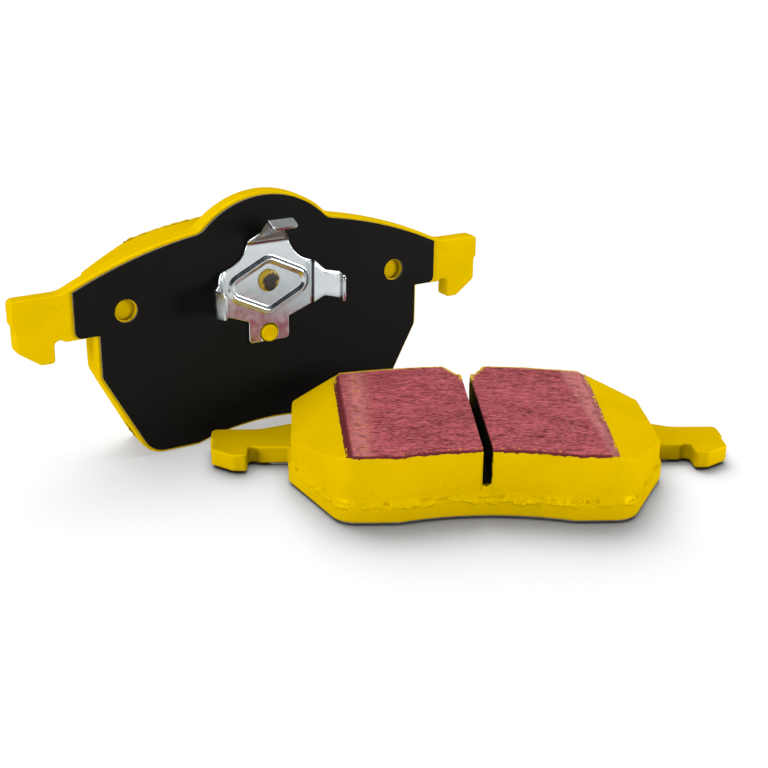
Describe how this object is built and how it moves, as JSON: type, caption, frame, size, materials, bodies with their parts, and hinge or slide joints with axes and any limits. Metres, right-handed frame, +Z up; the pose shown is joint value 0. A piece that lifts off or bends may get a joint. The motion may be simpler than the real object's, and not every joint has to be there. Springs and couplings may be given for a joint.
{
  "type": "disc brake pad set",
  "caption": "Yellow disc brake pad set: an upright inner pad with black shim and silver piston clip behind an outer pad lying on its back with a slotted red-coated face.",
  "frame": {"origin": "centre of the set's bounding box, on the surface that both pads rest on", "axes": "+X along the lying pad's length, +Z up, the standing pad's clip faces -Y turned about 29 degrees towards +X"},
  "size_m": [0.2108, 0.1092, 0.077],
  "materials": {
    "yellow_coat": "satin yellow powder coat on steel",
    "painted_friction": "friction compound, yellow powder coat over a fine moulded grain",
    "underlayer": "moulded bonding layer under the same coat, lumpy seam",
    "bedding_coat": "matte abrasive coating, ground along its length",
    "adhesive": "thin bonded adhesive film",
    "shim_steel": "thin cold-rolled sheet",
    "shim_rubber": "smooth satin black",
    "spring_steel": "bright zinc plate"
  },
  "bodies": {
    "outer_pad": {"outer_backing_plate": "yellow_coat", "outer_underlayer": "underlayer", "outer_friction_block": "painted_friction", "outer_coating_left": "bedding_coat", "outer_coating_right": "bedding_coat", "outer_shim_adhesive": "adhesive", "outer_shim_core": "shim_steel", "outer_shim_rubber": "shim_rubber"},
    "inner_pad": {"inner_backing_plate": "yellow_coat", "inner_underlayer": "underlayer", "inner_friction_block": "painted_friction", "inner_coating_left": "bedding_coat", "inner_coating_right": "bedding_coat", "inner_shim_adhesive": "adhesive", "inner_shim_core": "shim_steel", "inner_shim_rubber": "shim_rubber", "clip_base": "spring_steel"},
    "finger_top": {"clip_finger_top": "spring_steel"},
    "finger_left": {"clip_finger_left": "spring_steel"},
    "finger_right": {"clip_finger_right": "spring_steel"}
  },
  "joints": [
    {"name": "inner_pad_lift", "type": "slide", "parent": "outer_pad", "child": "inner_pad", "axis": [0, 0, 1], "range_m": [0, 0.06]},
    {"name": "finger_top_flex", "type": "hinge", "parent": "inner_pad", "child": "finger_top", "pos_m": [-0.03343, 0.01144, 0.0624], "axis": [0.8788, 0.4772, 0], "range_deg": [0, 12], "stiffness_Nm_per_rad": 1},
    {"name": "finger_left_flex", "type": "hinge", "parent": "inner_pad", "child": "finger_left", "pos_m": [-0.04714, 0.004, 0.0474], "axis": [0, 0, 1], "range_deg": [0, 12], "stiffness_Nm_per_rad": 1},
    {"name": "finger_right_flex", "type": "hinge", "parent": "inner_pad", "child": "finger_right", "pos_m": [-0.01972, 0.01888, 0.0474], "axis": [0, 0, -1], "range_deg": [0, 12], "stiffness_Nm_per_rad": 1}
  ]
}
